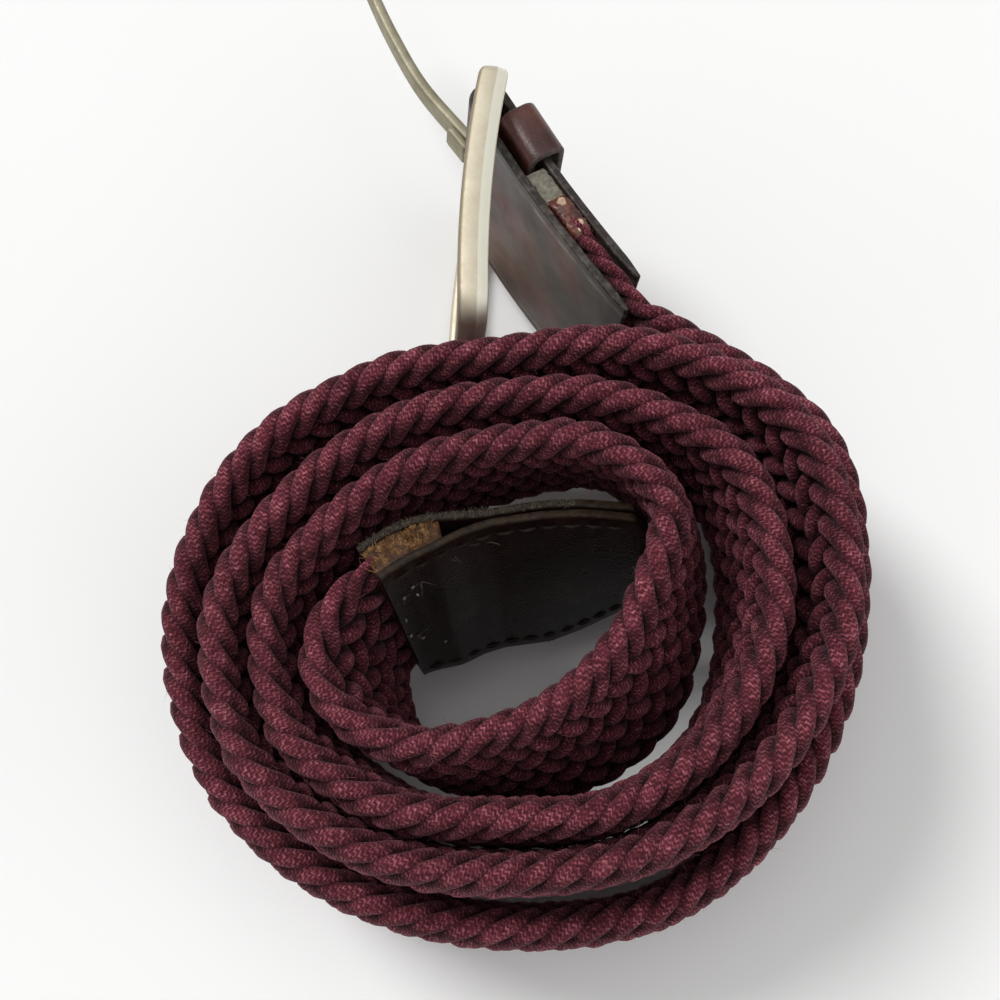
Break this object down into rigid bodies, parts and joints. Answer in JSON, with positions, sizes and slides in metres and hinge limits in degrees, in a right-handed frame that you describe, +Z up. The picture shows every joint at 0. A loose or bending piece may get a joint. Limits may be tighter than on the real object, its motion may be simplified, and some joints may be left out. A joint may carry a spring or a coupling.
{
  "type": "braided belt",
  "caption": "Braided stretch belt rolled up on its edge, with a leather-covered tip tab, a leather buckle end, a keeper loop, and a metal frame buckle with its prong.",
  "frame": {"origin": "on the surface that the rolled belt stands on, under the middle of the whole belt's box", "axes": "+Z up, along the width of the strap; +Y from the coil towards the buckle end; +X to the right of the coil when looking along +Y"},
  "size_m": [0.0959, 0.1572, 0.0508],
  "materials": {
    "braid": "matt braided cord in burgundy",
    "leather": "smooth dark brown leather with a soft gloss",
    "packing": "matt grey-beige fibre board",
    "nickel": "satin warm nickel plate",
    "aged_nickel": "worn antique nickel plate"
  },
  "bodies": {
    "strap": {"braid_strap": "braid", "tab_inner_leather": "leather", "tab_outer_leather": "leather", "billet_leather": "leather", "billet_packing": "packing", "keeper_loop": "leather"},
    "frame": {"buckle_frame": "nickel"},
    "prong": {"buckle_prong": "aged_nickel"}
  },
  "joints": [
    {"name": "frame_swing", "type": "hinge", "parent": "strap", "child": "frame", "pos_m": [-0.0065, 0.04, 0.02193], "axis": [-0.1368, -0.0466, -0.9895], "range_deg": [0, 137]},
    {"name": "prong_swing", "type": "hinge", "parent": "strap", "child": "prong", "pos_m": [-0.0065, 0.04, 0.02193], "axis": [-0.1368, -0.0466, -0.9895], "range_deg": [0, 100]}
  ]
}
